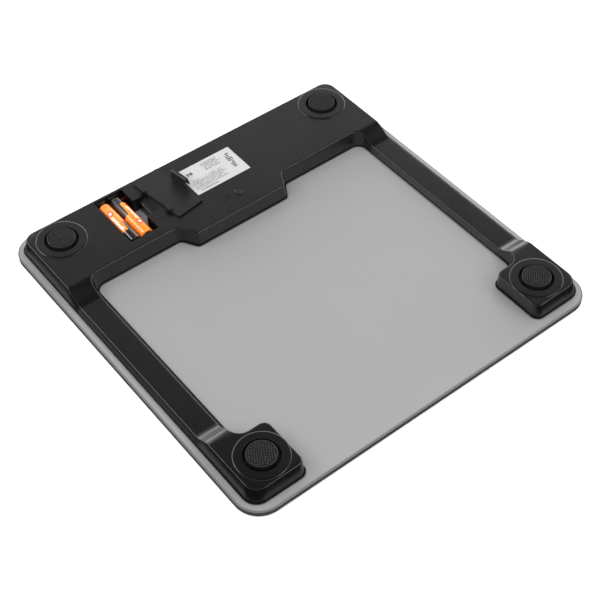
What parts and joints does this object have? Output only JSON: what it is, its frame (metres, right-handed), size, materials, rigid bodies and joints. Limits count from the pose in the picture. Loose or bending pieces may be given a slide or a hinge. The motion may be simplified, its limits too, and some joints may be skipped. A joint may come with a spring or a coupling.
{
  "type": "digital bathroom scale",
  "caption": "Square glass-platform digital bathroom scale lying on its face, with a black U-shaped underside housing, sprung feet, battery bay and loose battery cover.",
  "frame": {"origin": "centre of the platform's face, on the plane that the scale lies on", "axes": "+Z out of the underside, towards the feet; +Y towards the wide bar with the electronics and the battery bay; +X to the right seen from the underside with that bar at the back"},
  "size_m": [0.3, 0.3, 0.0282],
  "materials": {
    "glass": "polished, tempered",
    "silver_paint": "smooth satin silver paint behind the glass",
    "foam_tape": "closed-cell foam tape",
    "black_plastic": "black moulded ABS, fine satin texture",
    "rubber": "dark rubber with a woven square pattern",
    "cup_plastic": "black moulded plastic",
    "cell_steel": "stamped and nickel-plated",
    "cable_jacket": "grey insulation",
    "liner": "insulating sheet",
    "battery_wrap": "printed shrink wrap, orange with a black end",
    "contact_nickel": "nickel-plated spring steel",
    "red_wire": "insulation",
    "black_wire": "insulation",
    "cover_plastic": "black moulded ABS",
    "display_glass": "liquid crystal panel with a polariser",
    "frame_plastic": "natural white moulded plastic",
    "silicone": "layered conductive silicone",
    "board_laminate": "green solder mask",
    "chip_epoxy": "black epoxy over a bonded chip",
    "switch_plastic": "small push switch",
    "screw_steel": "zinc-plated",
    "button_plastic": "black moulded plastic",
    "label_paper": "white printed film label"
  },
  "bodies": {
    "scale_base": {"glass_platform": "glass", "silver_backing": "silver_paint", "mounting_tape": "foam_tape", "housing": "black_plastic", "load_cell_frame_back_left": "cell_steel", "load_cell_frame_back_right": "cell_steel", "load_cell_frame_front_left": "cell_steel", "load_cell_frame_front_right": "cell_steel", "sensor_cable_back_left": "cable_jacket", "sensor_cable_back_right": "cable_jacket", "sensor_cable_front_left": "cable_jacket", "sensor_cable_front_right": "cable_jacket", "battery_bay_liner": "liner", "contact_bridge": "contact_nickel", "contact_plate_positive": "contact_nickel", "contact_plate_negative": "contact_nickel", "contact_spring_front": "contact_nickel", "contact_spring_back": "contact_nickel", "battery_lead_positive": "red_wire", "battery_lead_negative": "black_wire", "lcd_panel": "display_glass", "display_frame": "frame_plastic", "zebra_strip_front": "silicone", "zebra_strip_back": "silicone", "circuit_board": "board_laminate", "controller_chip": "chip_epoxy", "tact_switch": "switch_plastic", "board_screw_left_front": "screw_steel", "board_screw_left_back": "screw_steel", "board_screw_right_front": "screw_steel", "board_screw_right_back": "screw_steel", "rating_label": "label_paper"},
    "foot_back_left": {"foot_pad_back_left": "rubber", "foot_cup_back_left": "cup_plastic", "load_cell_tongue_back_left": "cell_steel"},
    "foot_back_right": {"foot_pad_back_right": "rubber", "foot_cup_back_right": "cup_plastic", "load_cell_tongue_back_right": "cell_steel"},
    "foot_front_left": {"foot_pad_front_left": "rubber", "foot_cup_front_left": "cup_plastic", "load_cell_tongue_front_left": "cell_steel"},
    "foot_front_right": {"foot_pad_front_right": "rubber", "foot_cup_front_right": "cup_plastic", "load_cell_tongue_front_right": "cell_steel"},
    "unit_button": {"unit_button": "button_plastic"},
    "battery_cover": {"battery_cover": "cover_plastic"},
    "battery_left": {"battery_left": "battery_wrap"},
    "battery_right": {"battery_right": "battery_wrap"}
  },
  "joints": [
    {"name": "foot_press_back_left", "type": "slide", "parent": "scale_base", "child": "foot_back_left", "axis": [0, 0, -1], "range_m": [0, 0.0008], "stiffness_N_per_m": 1500},
    {"name": "foot_press_back_right", "type": "slide", "parent": "scale_base", "child": "foot_back_right", "axis": [0, 0, -1], "range_m": [0, 0.0008], "stiffness_N_per_m": 1500},
    {"name": "foot_press_front_left", "type": "slide", "parent": "scale_base", "child": "foot_front_left", "axis": [0, 0, -1], "range_m": [0, 0.0008], "stiffness_N_per_m": 1500},
    {"name": "foot_press_front_right", "type": "slide", "parent": "scale_base", "child": "foot_front_right", "axis": [0, 0, -1], "range_m": [0, 0.0008], "stiffness_N_per_m": 1500},
    {"name": "unit_button_press", "type": "slide", "parent": "scale_base", "child": "unit_button", "axis": [0, 0, -1], "range_m": [0, 0.0006], "stiffness_N_per_m": 1200},
    {"name": "battery_cover_lift", "type": "slide", "parent": "scale_base", "child": "battery_cover", "axis": [0, 0, 1], "range_m": [0, 0.06]},
    {"name": "battery_left_lift", "type": "slide", "parent": "scale_base", "child": "battery_left", "axis": [0, 0, 1], "range_m": [0, 0.025]},
    {"name": "battery_right_lift", "type": "slide", "parent": "scale_base", "child": "battery_right", "axis": [0, 0, 1], "range_m": [0, 0.025]}
  ]
}
